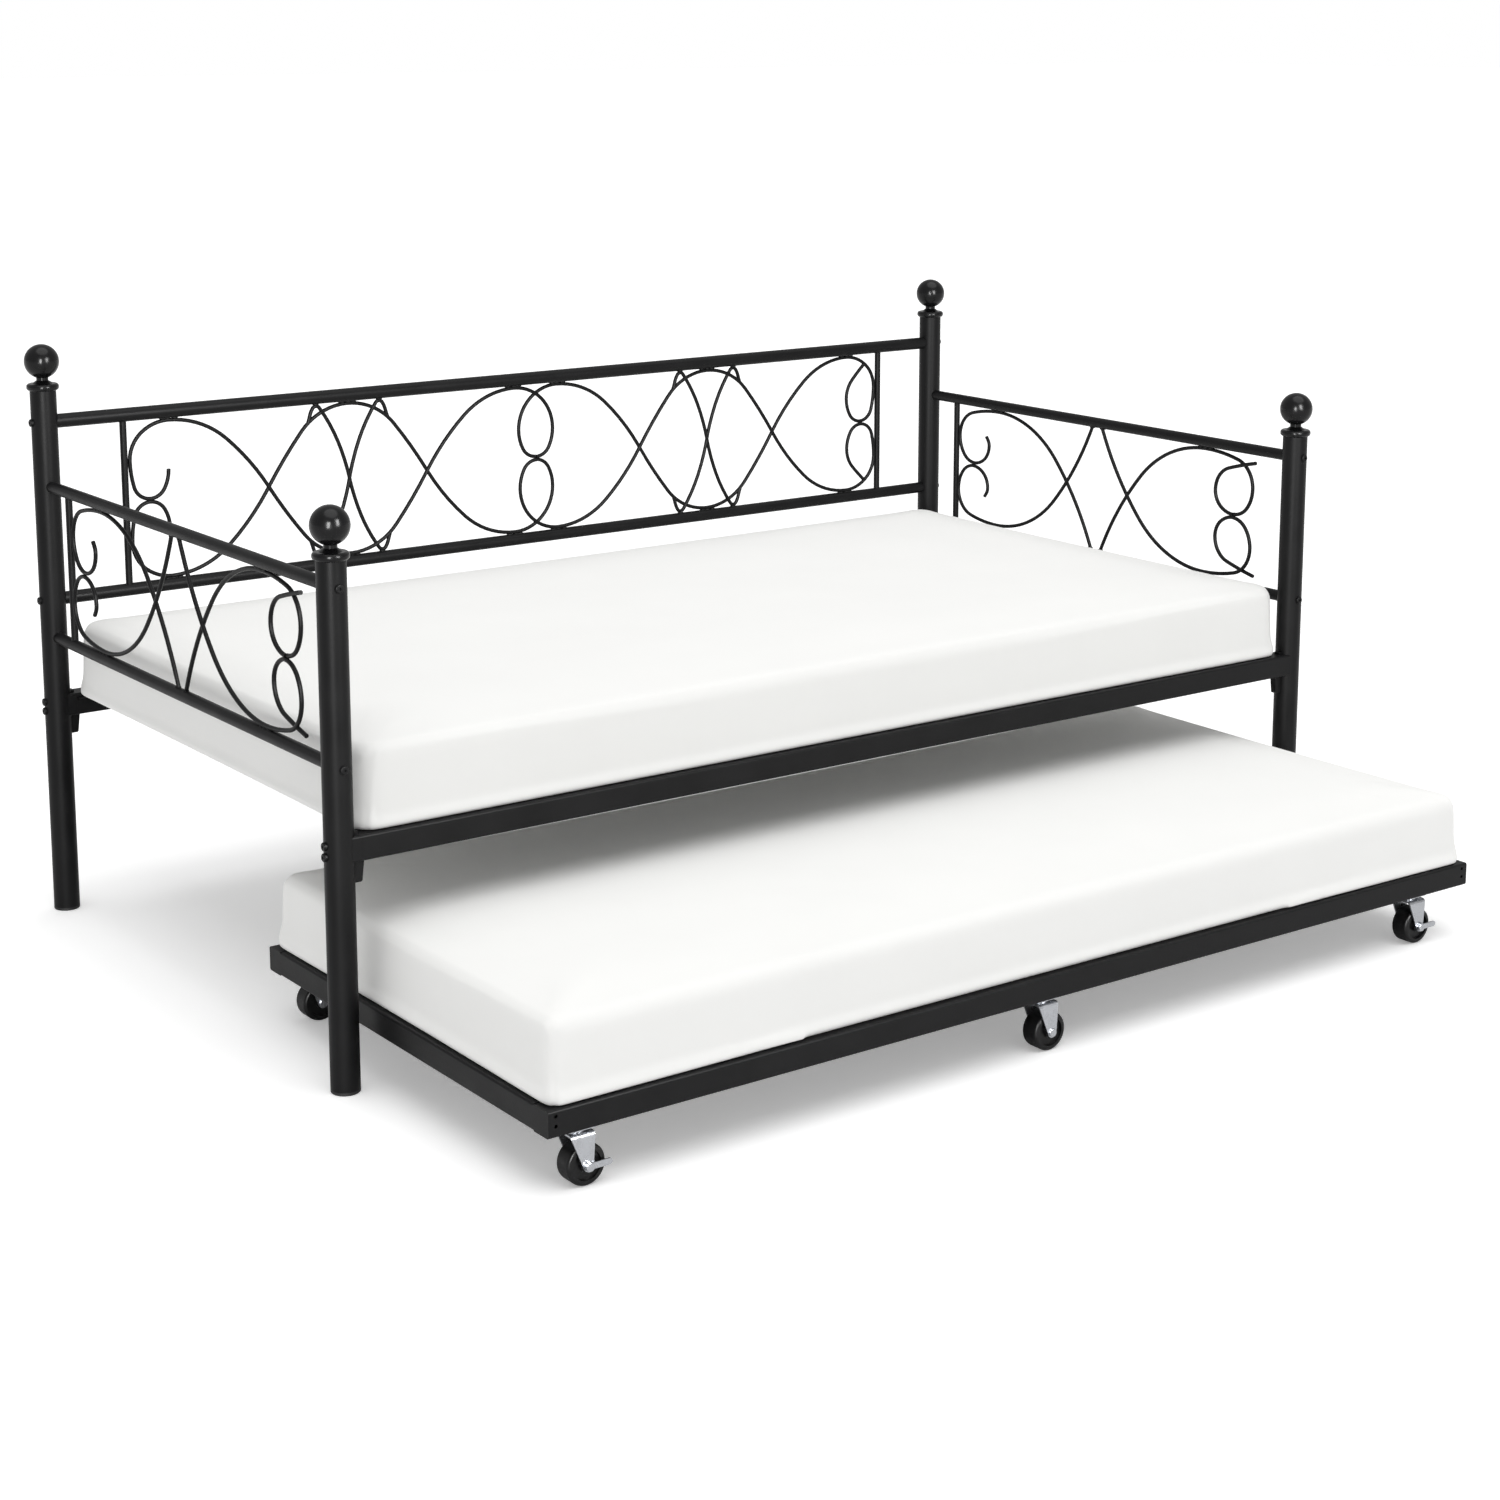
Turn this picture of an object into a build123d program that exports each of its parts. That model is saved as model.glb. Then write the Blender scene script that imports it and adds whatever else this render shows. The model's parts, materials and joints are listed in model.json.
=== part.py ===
from build123d import *
import os
from math import atan2, cos, degrees, radians, sin, sqrt

# A metal trundle bed in millimetres: a daybed with scroll panels, and a trundle that rolls out on casters.
# +X runs along the bed to the right, -Y is the front, +Z is up and the floor is z = 0.

# Running and seating clearances
seat_gap = 0.1        # between pieces that are pressed, welded or bolted together
soft_gap = 0.3        # under and around a mattress
turn_gap = 0.05       # radial, between a pin and the hole that turns on it
swivel_gap = 0.3      # between faces that slide past each other
over_cut = 1.0        # how far a hole's cutter runs past a face

# Posts
post_span_x = 1940.0  # post centre to post centre along the bed
post_span_y = 1030.0  # post centre to post centre, front to back
post_dia = 44.0
post_wall = 2.0
front_post_top = 784.0
back_post_top = 909.0
glide_height = 5.0
glide_chamfer = 1.2
plug_depth = 22.0     # how far a glide or a collar reaches into the tube

# Finials and their collars
collar_dia = 54.0
collar_height = 12.0
collar_round = 5.4
ball_dia = 58.0
ball_rise = 49.0      # post top to ball centre
neck_dia = 20.0
neck_foot_dia = 34.0
neck_foot_height = 5.0
stud_dia = 8.0
stud_length = 26.0

# Panel rails, bars and scroll rods
tube_wall = 1.5
rail_plug = 24.0      # solid end of a round rail, which takes the bolt
back_top_dia = 24.0
back_top_z = 855.0
back_bottom_dia = 22.0
back_bottom_z = 549.0
side_rail_dia = 20.0
side_top_z = 746.0
side_bottom_z = 485.0
bar_dia = 12.0
back_bar_inset = 140.0    # post centre to upright bar on the back panel
side_bar_inset = 91.0     # rear post centre to upright bar on a side panel
rod_dia = 7.0
rod_bite = 0.5        # how far touching rods are pressed together at a weld
rod_layer = 1.2       # rods that cross lie this far either side of the panel's middle plane
vee_layer = 0.4

# Scroll pattern of the back panel
loop_half_width = 37.0    # centre loops
loop_side_rise = 56.0     # panel middle to the widest place of a centre loop
loop_lead = 47.0          # panel centre to the crest of the wave beside it
end_loop_half_width = 35.5
end_loop_side_rise = 72.0
end_loop_inner_rise = 52.0
end_loop_lead = 37.0      # centre of an end loop to the crest of its wave
end_loop_close = 11.0     # where a closed end loop meets its wave, past the loop's centre
end_loop_close_drop = 16.5
end_loop_close_angle = 42.0
arch_half_span = 161.0    # crossing to the middle of an arch
wave_slope = 58.0
vee_half_span = 64.0      # middle of an arch to the tips of its vees
vee_bend = 8.0            # bend radius at a tip
vee_foot_slope = 42.0     # slope of the arch where the short leg of a vee joins it
vee_rise_slope = 56.0
vee_fall_slope = 54.0
vee_cross_slope = 78.0

# Scroll pattern of the side panels
side_loop_half_width = 46.0
side_loop_lead = 74.0     # centre of a loop to the crest of its wave
side_loop_outer_rise = 56.0
side_loop_inner_rise = 44.0
side_curl_end = 18.0      # how far an open curl carries on past its inner side
side_curl_angle = 50.0
side_tail_reach = 54.0    # loop centre to the free end of its tail
side_tail_drop = 11.0
side_tail_angle = 168.0
side_tip_half_gap = 10.0  # half of the gap where two waves end side by side on a rail
side_tip_slope = 67.0

# Mattress rails, brackets and slats of the daybed
tube_side = 38.0          # square tube of both frames
tube_corner = 3.5         # outside corner radius of that tube
square_wall = 2.0
bed_rail_z = 345.5        # underside of the front and back rails
bracket_reach = 6.0       # post surface to rail end
bracket_plug = 26.0
gusset_reach = 9.0
gusset_drop = 34.0
gusset_foot = 5.0         # width of the gusset at its lower end
gusset_width = 12.0       # front to back
gusset_round = 3.0
bracket_lip = 4.0         # saddle above the rail's top
slat_width = 45.0
slat_height = 7.0
slat_sheet = 1.5
slat_end_gap = 1.0        # rail's inner face to slat end
ledge_reach = 14.0        # strip welded inside a rail, under the slat ends
ledge_sheet = 2.0
bed_slat_count = 17
bed_slat_margin = 90.0    # post centre to the middle of the first slat

# Bolts through the posts
bolt_dia = 6.0
bolt_head_dia = 13.0
bolt_head_height = 4.0
bolt_head_round = 2.0
bolt_socket = 4.0         # across the flats of the hexagon
bolt_socket_depth = 2.2
rail_bolt_low = 10.0      # rail underside to the lower bolt
rail_bolt_step = 16.0

# Trundle frame
trundle_left_gap = 16.5   # left front post to the trundle's end as it rolls past
trundle_right_gap = 56.5
trundle_depth = 808.0
trundle_out = 493.0       # trundle front face beyond the front post centres
trundle_slat_count = 17
trundle_slat_margin = 95.0
corner_screw_dia = 3.5
corner_screw_head_dia = 5.0
corner_screw_head = 3.0
corner_screw_inset = 12.0     # rail end to screw
corner_screw_drops = (8.0, 22.0)  # rail top to each screw
access_hole_dia = 5.4
end_rail_plug = 24.0

# Casters
caster_left_inset = 58.0      # left end of the rail to the first caster's kingpin
caster_right_inset = 114.0    # right end of the rail to the last caster's kingpin
caster_setback = 26.0         # long rail's face to the kingpins
plate_length = 46.0
plate_depth = 40.0
plate_thick = 2.5
plate_corner = 5.0
plate_bolt_x = 17.0
plate_bolt_y = 7.0
plate_bolt_dia = 5.0
plate_bolt_head_dia = 9.0
plate_bolt_head = 3.0
plate_bolt_head_round = 1.2
plate_bolt_rise = 6.0         # thread above the rail's underside
cup_dia = 26.0
cup_height = 5.0
kingpin_dia = 10.0
kingpin_head_dia = 18.0
kingpin_head = 3.5
kingpin_head_round = 1.4
fork_sheet = 2.5
crown_length = 38.0
crown_bend = 6.0              # outside radius where the crown turns down into a leg
wheel_dia = 60.0
wheel_width = 32.0
wheel_hub_dia = 20.0
wheel_hub_proud = 0.9
wheel_dish_dia = 44.0
wheel_dish = 4.0
tread_round = 5.0
hub_gap = 0.6                 # wheel hub to fork leg
caster_height = 85.0          # floor to the rail's underside
caster_trail = 8.0
axle_dia = 8.0
axle_head_dia = 13.0
axle_head = 2.5
axle_head_round = 1.0
axle_boss_radius = 8.0
lever_sheet = 2.5
lever_length = 36.0
lever_depth = 9.0
lever_eye_dia = 15.0
braked = ("front_left", "front_right")

# Mattresses
bed_mattress_height = 139.0
bed_mattress_end_gap = 12.0   # side rail to mattress end
bed_mattress_setback = 5.0    # front rail's face to mattress side
bed_mattress_back_gap = 10.0  # back post centres to mattress side
trundle_mattress_height = 129.0
trundle_mattress_setback = 3.0
bed_mattress_corner = 45.0    # radius in plan
trundle_mattress_corner = 24.0
mattress_edge = 16.0          # how far the top edge rolls in
mattress_foot = 5.0           # how far the bottom edge rolls in
mattress_crown = 5.0
mattress_knee = 3.0           # crown's rise an eighth of the way across
mattress_draw = 4.0           # how far each side bows in between its corners

# Places that follow from the sizes above
half_x = post_span_x / 2
half_y = post_span_y / 2
post_r = post_dia / 2
spigot_dia = post_dia - 2 * post_wall - 2 * seat_gap
rod_r = rod_dia / 2
tube_bore = tube_side - 2 * square_wall
bore_corner = tube_corner - square_wall
bed_rail_top = bed_rail_z + tube_side
trundle_z = caster_height
trundle_top = trundle_z + tube_side
trundle_front = -half_y - trundle_out
trundle_back = trundle_front + trundle_depth
trundle_left = -half_x + post_r + trundle_left_gap
trundle_right = half_x - post_r - trundle_right_gap
trundle_length = trundle_right - trundle_left
trundle_x = (trundle_left + trundle_right) / 2
part_front = trundle_front
part_back = half_y + max(ball_dia / 2, post_r + bolt_head_height)
datum_y = (part_front + part_back) / 2

corners = {
    "front_left": (-1, -1),
    "front_right": (1, -1),
    "back_left": (-1, 1),
    "back_right": (1, 1),
}


def cyl_x(dia, x0, x1, y, z):
    """A cylinder along X."""
    return Pos((x0 + x1) / 2, y, z) * Rot(0, 90, 0) * Cylinder(dia / 2, abs(x1 - x0))


def cyl_y(dia, y0, y1, x, z):
    """A cylinder along Y."""
    return Pos(x, (y0 + y1) / 2, z) * Rot(90, 0, 0) * Cylinder(dia / 2, abs(y1 - y0))


def cyl_z(dia, z0, z1, x, y):
    """A cylinder along Z."""
    return Pos(x, y, (z0 + z1) / 2) * Cylinder(dia / 2, abs(z1 - z0))


def block(x0, x1, y0, y1, z0, z1):
    """A box between two corners."""
    return Pos((x0 + x1) / 2, (y0 + y1) / 2, (z0 + z1) / 2) * Box(abs(x1 - x0), abs(y1 - y0), abs(z1 - z0))


def square_x(side, corner, x0, x1, y, z):
    """A square bar along X with rounded corners."""
    section = RectangleRounded(side, side, corner)
    return Pos(0, y, z) * extrude(Plane.YZ.offset(min(x0, x1)) * section, abs(x1 - x0))


def square_y(side, corner, y0, y1, x, z):
    """A square bar along Y with rounded corners."""
    section = RectangleRounded(side, side, corner)
    return Pos(x, 0, z) * extrude(Plane.XZ.offset(-max(y0, y1)) * section, abs(y1 - y0))


def post_top(corner):
    """The height of a post's tube."""
    return front_post_top if corners[corner][1] < 0 else back_post_top


def post_place(corner):
    """The centre of a post in plan."""
    sx, sy = corners[corner]
    return sx * half_x, sy * half_y


def post_bolt_heights(corner):
    """Heights of the bolts through a post: along X and along Y."""
    lower = bed_rail_z + rail_bolt_low
    along_x = [lower, lower + rail_bolt_step]
    if corners[corner][1] > 0:
        along_x += [back_bottom_z, back_top_z]
    return along_x, [side_bottom_z, side_top_z]


def post(corner):
    """A round tube with its bolt holes."""
    x, y = post_place(corner)
    top = post_top(corner)
    tube = cyl_z(post_dia, glide_height, top, x, y) - cyl_z(post_dia - 2 * post_wall, glide_height, top, x, y)
    hole = bolt_dia + 2 * seat_gap
    along_x, along_y = post_bolt_heights(corner)
    for z in along_x:
        tube -= cyl_x(hole, x - post_dia, x + post_dia, y, z)
    for z in along_y:
        tube -= cyl_y(hole, y - post_dia, y + post_dia, x, z)
    return tube


def post_solids(dia):
    """The four posts as plain cylinders, to cope what meets them."""
    return [cyl_z(dia, 0, back_post_top, *post_place(corner)) for corner in corners]


def collar(corner):
    """A rounded flange on the tube's end, with a spigot inside it."""
    x, y = post_place(corner)
    top = post_top(corner)
    flange = Pos(0, 0, top + collar_height / 2) * Cylinder(collar_dia / 2, collar_height)
    flange = fillet(flange.edges().filter_by(GeomType.CIRCLE), collar_round)
    spigot = cyl_z(spigot_dia, top - plug_depth, top, 0, 0)
    hole = cyl_z(stud_dia + 2 * seat_gap, top - plug_depth, top + collar_height, 0, 0)
    return Pos(x, y, 0) * (flange + spigot - hole)


def finial(corner):
    """A ball on a flared neck, with the stud that screws into the collar."""
    x, y = post_place(corner)
    seat = post_top(corner) + collar_height + seat_gap
    centre = post_top(corner) + ball_rise
    foot = Pos(0, 0, seat + neck_foot_height / 2) * Cone(neck_foot_dia / 2, neck_dia / 2, neck_foot_height)
    neck = cyl_z(neck_dia, seat, centre, 0, 0)
    stud = cyl_z(stud_dia, seat - stud_length, seat, 0, 0)
    ball = Pos(0, 0, centre) * Sphere(ball_dia / 2)
    return Pos(x, y, 0) * (foot + neck + stud + ball)


def glide(corner):
    """A plastic foot with a spigot inside the tube."""
    x, y = post_place(corner)
    pad = Cylinder(post_r, glide_height - seat_gap)
    pad = Pos(0, 0, (glide_height - seat_gap) / 2) * chamfer(pad.edges().sort_by(Axis.Z)[0], glide_chamfer)
    spigot = cyl_z(spigot_dia, glide_height - seat_gap, glide_height + plug_depth, 0, 0)
    return Pos(x, y, 0) * (pad + spigot)


def round_rail_x(dia, y, z):
    """A round rail between two posts along X, solid at its ends for the bolts."""
    inner = half_x - post_r - rail_plug
    rail = cyl_x(dia, -half_x, half_x, y, z)
    rail -= cyl_x(dia - 2 * tube_wall, -inner, inner, y, z)
    rail -= cyl_x(bolt_dia + 2 * seat_gap, -half_x, half_x, y, z)
    return rail - post_solids(post_dia + 2 * seat_gap)


def round_rail_y(dia, x, z):
    """A round rail between two posts along Y, solid at its ends for the bolts."""
    inner = half_y - post_r - rail_plug
    rail = cyl_y(dia, -half_y, half_y, x, z)
    rail -= cyl_y(dia - 2 * tube_wall, -inner, inner, x, z)
    rail -= cyl_y(bolt_dia + 2 * seat_gap, -half_y, half_y, x, z)
    return rail - post_solids(post_dia + 2 * seat_gap)


def upright(x, y, low, high, low_cut, high_cut):
    """An upright bar between two rails, coped to both."""
    return cyl_z(bar_dia, low, high, x, y) - low_cut - high_cut


def heading(angle):
    """The unit vector at an angle, in degrees."""
    return Vector(cos(radians(angle)), sin(radians(angle)))


def arc_from(start, direction, end):
    """The arc, or straight line, that leaves start in a direction and reaches end."""
    span = end - start
    if abs(span.cross(direction).Z) < 1e-6 * span.length:
        return Line(start, end)
    return TangentArc(start, end, tangent=direction)


def biarc(p0, a0, p1, a1):
    """Two tangent arcs from one station to the next, each station a point and a heading."""
    t0 = heading(a0)
    t1 = heading(a1)
    span = p1 - p0
    both = span.dot(t0 + t1)
    turn = 1 - t0.dot(t1)
    if turn < 1e-9:
        reach = span.dot(span) / (2 * both)
    else:
        reach = (sqrt(both ** 2 + 2 * turn * span.dot(span)) - both) / (2 * turn)
    middle = (p0 + p1 + (t0 - t1) * reach) / 2
    chord = (p1 - middle).normalized()
    t_middle = chord * (2 * chord.dot(t1)) - t1
    return [arc_from(p0, t0, middle), arc_from(middle, t_middle, p1)]


def bent_rod(stations, layer):
    """A round rod bent through stations (u, v, heading) in the panel's plane."""
    edges = []
    for (u0, v0, a0), (u1, v1, a1) in zip(stations, stations[1:]):
        edges += biarc(Vector(u0, v0), a0, Vector(u1, v1), a1)
    u, v, angle = stations[0]
    section = Plane(origin=(u, v, 0), x_dir=(0, 0, 1), z_dir=heading(angle)) * Circle(rod_r)
    return Pos(0, 0, layer) * sweep(section, path=Wire(edges))


def flip_u(stations):
    """Stations mirrored left to right."""
    return [(-u, v, 180 - angle) for u, v, angle in stations]


def flip_v(stations):
    """Stations mirrored top to bottom."""
    return [(u, -v, -angle) for u, v, angle in stations]


def mirrored_pair(stations, layer):
    """A rod and its mirror image below the panel's middle, pressed together where they cross."""
    return [bent_rod(stations, layer), bent_rod(flip_v(stations), -layer)]


def welded(rods):
    """Rods joined into one grille."""
    return rods[0].fuse(*rods[1:])


back_crest = (back_top_z - back_top_dia / 2 - back_bottom_z - back_bottom_dia / 2) / 2 - rod_r - seat_gap
back_gap_z = (back_top_z - back_top_dia / 2 + back_bottom_z + back_bottom_dia / 2) / 2
back_bar_x = half_x - back_bar_inset
waist = rod_r - rod_bite
end_loop_u = back_bar_x - bar_dia / 2 - seat_gap - rod_r - end_loop_half_width
end_crest_u = end_loop_u - end_loop_lead
outer_cross_u = end_crest_u - (end_crest_u - loop_lead - 2 * arch_half_span) / 2
arch_u = outer_cross_u - arch_half_span
inner_cross_u = arch_u - arch_half_span


def back_wave(closed):
    """Stations of a wave from the centre loop to the right end, with a closed loop or an open curl there."""
    stations = [
        (0, waist, 180),
        (-loop_half_width, loop_side_rise, 90),
        (loop_lead, back_crest, 0),
        (inner_cross_u, 0, -wave_slope),
        (arch_u, -back_crest, 0),
        (outer_cross_u, 0, wave_slope),
        (end_crest_u, back_crest, 0),
        (end_loop_u + end_loop_half_width, end_loop_side_rise, -90),
        (end_loop_u, waist, 180),
        (end_loop_u - end_loop_half_width, end_loop_inner_rise, 90),
    ]
    if closed:
        stations.append((end_loop_u + end_loop_close, back_crest - end_loop_close_drop, end_loop_close_angle))
    return stations


def vee():
    """Stations of a rod that leaves an arch, turns at the rail and crosses the middle to the other rail."""
    arch_rise = biarc(Vector(-arch_half_span, 0), wave_slope, Vector(0, back_crest), 0)[1]
    foot_radius = arch_rise.radius
    foot_u = -foot_radius * sin(radians(vee_foot_slope))
    foot_v = back_crest - foot_radius * (1 - cos(radians(vee_foot_slope)))
    rise = radians(vee_rise_slope)
    fall = radians(vee_fall_slope)
    tip_v = back_crest - vee_bend
    tip_in = (-vee_half_span - vee_bend * sin(rise), tip_v + vee_bend * cos(rise), vee_rise_slope)
    tip = (-vee_half_span, back_crest, 0)
    tip_out = (-vee_half_span + vee_bend * sin(fall), tip_v + vee_bend * cos(fall), -vee_fall_slope)
    foot = (foot_u, foot_v, degrees(atan2(tip_in[1] - foot_v, tip_in[0] - foot_u)))
    half = [foot, tip_in, tip, tip_out]
    other_half = [(-u, -v, angle) for u, v, angle in reversed(half)]
    return half + [(0, 0, -vee_cross_slope)] + other_half


def back_scrollwork():
    """Four mirrored waves and two pairs of crossed vees."""
    rods = mirrored_pair(flip_u(back_wave(closed=False)), rod_layer)
    rods += mirrored_pair(back_wave(closed=True), -rod_layer)
    for side in (-1, 1):
        for stations, layer in ((vee(), vee_layer), (flip_u(vee()), -vee_layer)):
            rods.append(bent_rod([(u + side * arch_u, v, angle) for u, v, angle in stations], layer))
    plane = Plane(origin=(0, half_y, back_gap_z), x_dir=(1, 0, 0), z_dir=(0, -1, 0))
    return plane * welded(rods)


side_middle_z = (side_top_z + side_bottom_z) / 2
side_half_gap = (side_top_z - side_bottom_z) / 2
side_crest = side_half_gap - side_rail_dia / 2 - rod_r - seat_gap
side_bar_y = half_y - side_bar_inset
side_loop_u = side_bar_y - bar_dia / 2 - seat_gap - rod_r - side_loop_half_width
side_crest_u = side_loop_u - side_loop_lead


def side_wave():
    """Stations of a wave from a rail, over its crest and round to the foot of its loop."""
    return [
        (side_tip_half_gap, -side_half_gap, side_tip_slope),
        (side_crest_u, side_crest, 0),
        (side_loop_u + side_loop_half_width, side_loop_outer_rise, -90),
        (side_loop_u, waist, 180),
    ]


def side_curl():
    """Stations that end a wave in an open curl."""
    inner_u = side_loop_u - side_loop_half_width
    return side_wave() + [
        (inner_u, side_loop_inner_rise, 90),
        (inner_u + side_curl_end / 2, side_loop_inner_rise + side_curl_end, side_curl_angle),
    ]


def side_tail():
    """Stations that close a loop and run past its wave to a free end."""
    return [
        (side_loop_u, waist, 180),
        (side_loop_u - side_loop_half_width, side_loop_inner_rise, 90),
        (side_loop_u + side_tail_reach, side_crest - side_tail_drop, 180 - side_tail_angle),
    ]


def side_scrollwork(x):
    """Open curls at the rear and closed loops with tails at the front."""
    rods = mirrored_pair(side_curl(), rod_layer)
    rods += mirrored_pair(flip_u(side_wave()), rod_layer)
    rods += mirrored_pair(flip_u(side_tail()), -rod_layer)
    plane = Plane(origin=(x, 0, side_middle_z), x_dir=(0, 1, 0), z_dir=(1, 0, 0))
    cut_dia = side_rail_dia + 2 * seat_gap
    rear_rods = plane * welded(rods[:2])
    front_rods = plane * welded(rods[2:])
    rails = [cyl_y(cut_dia, -half_y, half_y, x, z) for z in (side_top_z, side_bottom_z)]
    return [rear_rods - rails, front_rods - rails]


def slat_ledge(x0, x1, inner, toward, top):
    """The strip welded inside a rail that the slat ends rest on, so that slats and rail end level."""
    ledge_top = top - slat_height
    root = inner - toward * square_wall / 2
    return block(x0, x1, root, inner + toward * ledge_reach, ledge_top - ledge_sheet, ledge_top)


def bed_rail(sy):
    """A square tube between the rail brackets, with a ledge inside for the slats."""
    end = half_x - post_r - bracket_reach
    y = sy * half_y
    z = bed_rail_z + tube_side / 2
    rail = square_x(tube_side, tube_corner, -end, end, y, z)
    rail += slat_ledge(-end, end, sy * (half_y - tube_side / 2), -sy, bed_rail_top)
    return rail - square_x(tube_bore, bore_corner, -end, end, y, z)


def rail_bracket(corner):
    """A saddle against the post, with a plug inside the rail and a gusset below it."""
    sx, sy = corners[corner]
    x, y = post_place(corner)
    face = x - sx * (post_r + bracket_reach - seat_gap)
    middle = bed_rail_z + tube_side / 2
    saddle = square_x(tube_side, tube_corner, x - sx * post_r / 2, face, y, middle)
    plug = square_x(tube_bore - 2 * seat_gap, bore_corner, face, face - sx * bracket_plug, y, middle)
    low = bed_rail_z - gusset_drop
    under = bed_rail_z - seat_gap
    half_width = gusset_width / 2
    lip = bed_rail_top + bracket_lip
    back_plate = block(x - sx * post_r / 2, face, y - half_width, y + half_width, low, lip)
    foot = face - sx * gusset_foot
    web_points = [(face, low), (foot, low), (face - sx * gusset_reach, under), (face, under)]
    web = make_face(Polyline(*web_points, close=True))
    web = fillet(web.vertices().sort_by(Axis.Y)[:2].sort_by_distance((foot, low))[0], gusset_round)
    web = Pos(0, y, 0) * extrude(Plane.XZ * web, half_width, both=True)
    bracket = saddle + plug + back_plate + web
    bracket -= cyl_z(post_dia + 2 * seat_gap, 0, back_post_top, x, y)
    for z in post_bolt_heights(corner)[0][:2]:
        bracket -= cyl_x(bolt_dia + 2 * seat_gap, x, face - sx * (bracket_plug + seat_gap), y, z)
    return bracket


def post_bolt(corner, along, z, grip):
    """A button-head bolt through a post along X or Y, its head seated on the outside of the tube."""
    sx, sy = corners[corner]
    x, y = post_place(corner)
    turn = Rot(0, 90 * sx, 0) if along == "x" else Rot(-90 * sy, 0, 0)
    place = Pos(x, y, z) * turn
    top = post_r + bolt_head_height
    head = cyl_z(bolt_head_dia, post_r / 2, top, 0, 0)
    head = fillet(head.edges().sort_by(Axis.Z)[-1], bolt_head_round)
    socket = RegularPolygon(bolt_socket / 2, 6, major_radius=False)
    head -= Pos(0, 0, top - bolt_socket_depth) * extrude(socket, bolt_socket_depth)
    shank = cyl_z(bolt_dia, -post_r - grip, top - bolt_socket_depth, 0, 0)
    return place * head - cyl_z(post_dia + 2 * seat_gap, 0, back_post_top, x, y) + place * shank


def panel_bolts():
    """The bolts that hold the panel rails to the posts."""
    bolts = []
    for corner in corners:
        along_x, along_y = post_bolt_heights(corner)
        bolts += [post_bolt(corner, "x", z, rail_plug - seat_gap) for z in along_x[2:]]
        bolts += [post_bolt(corner, "y", z, rail_plug - seat_gap) for z in along_y]
    return bolts


def rail_bolts():
    """The bolts that hold the rail brackets to the posts."""
    grip = bracket_reach + bracket_plug - seat_gap
    return [post_bolt(corner, "x", z, grip) for corner in corners for z in post_bolt_heights(corner)[0][:2]]


def slat(x, y0, y1, z):
    """A steel channel, open below."""
    half = slat_width / 2
    outer = block(x - half, x + half, y0, y1, z, z + slat_height)
    inner = half - slat_sheet
    return outer - block(x - inner, x + inner, y0, y1, z, z + slat_height - slat_sheet)


def slat_row(count, first, last, y0, y1, z):
    """Evenly spaced slats from the first to the last."""
    step = (last - first) / (count - 1)
    return [slat(first + index * step, y0, y1, z) for index in range(count)]


def bed_slats():
    """The slats between the front and back rails."""
    end = half_x - bed_slat_margin
    reach = half_y - tube_side / 2 - slat_end_gap
    return slat_row(bed_slat_count, -end, end, -reach, reach, bed_rail_top - slat_height)


def trundle_slats():
    """The slats between the trundle's front and back rails."""
    first = trundle_left + trundle_slat_margin
    last = trundle_right - trundle_slat_margin
    y0 = trundle_front + tube_side + slat_end_gap
    y1 = trundle_back - tube_side - slat_end_gap
    return slat_row(trundle_slat_count, first, last, y0, y1, trundle_top - slat_height)


def pillow_outline(length, width, corner_radius, inset, z):
    """A mattress outline at a height: sides bowed in between rounded corners."""
    half_l = length / 2 - inset
    half_w = width / 2 - inset
    corner = max(corner_radius - inset, corner_radius / 3)
    draw = mattress_draw
    diagonal = corner * (1 - sqrt(0.5))
    quarter = [
        ThreePointArc((half_l - corner, -half_w), (0, -half_w + draw), (corner - half_l, -half_w)),
        ThreePointArc(
            (corner - half_l, -half_w),
            (diagonal - half_l, diagonal - half_w),
            (-half_l, corner - half_w),
        ),
        ThreePointArc((-half_l, corner - half_w), (draw - half_l, 0), (-half_l, half_w - corner)),
        ThreePointArc(
            (-half_l, half_w - corner),
            (diagonal - half_l, half_w - diagonal),
            (corner - half_l, half_w),
        ),
    ]
    other = [edge.rotate(Axis.Z, 180) for edge in quarter]
    return Pos(0, 0, z) * make_face(quarter + other)


def mattress(length, width, height, corner, x, y, z):
    """A foam mattress with rolled edges, drawn-in sides and a crowned top."""
    shoulder = height - mattress_crown
    levels = [
        (0, mattress_foot),
        (mattress_foot / 3, mattress_foot / 3),
        (mattress_foot, 0),
        (shoulder - mattress_edge, 0),
        (shoulder - mattress_edge / 3, mattress_edge / 3),
        (shoulder, mattress_edge),
        (shoulder + mattress_knee, width / 8),
        (height, width / 4),
    ]
    sections = [pillow_outline(length, width, corner, inset, level) for level, inset in levels]
    return Pos(x, y, z) * loft(sections, ruled=True)


def bed_mattress():
    """The mattress on the daybed."""
    length = 2 * (half_x - side_rail_dia / 2 - bed_mattress_end_gap)
    front = bed_mattress_setback - half_y - tube_side / 2
    back = half_y - bed_mattress_back_gap
    middle_y = (front + back) / 2
    bottom = bed_rail_top + soft_gap
    return mattress(length, back - front, bed_mattress_height, bed_mattress_corner, 0, middle_y, bottom)


def trundle_mattress():
    """The mattress on the trundle."""
    length = trundle_length - 2 * trundle_mattress_setback
    width = trundle_depth - 2 * trundle_mattress_setback
    middle_y = (trundle_front + trundle_back) / 2
    bottom = trundle_top + soft_gap
    corner = trundle_mattress_corner
    return mattress(length, width, trundle_mattress_height, corner, trundle_x, middle_y, bottom)


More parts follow.
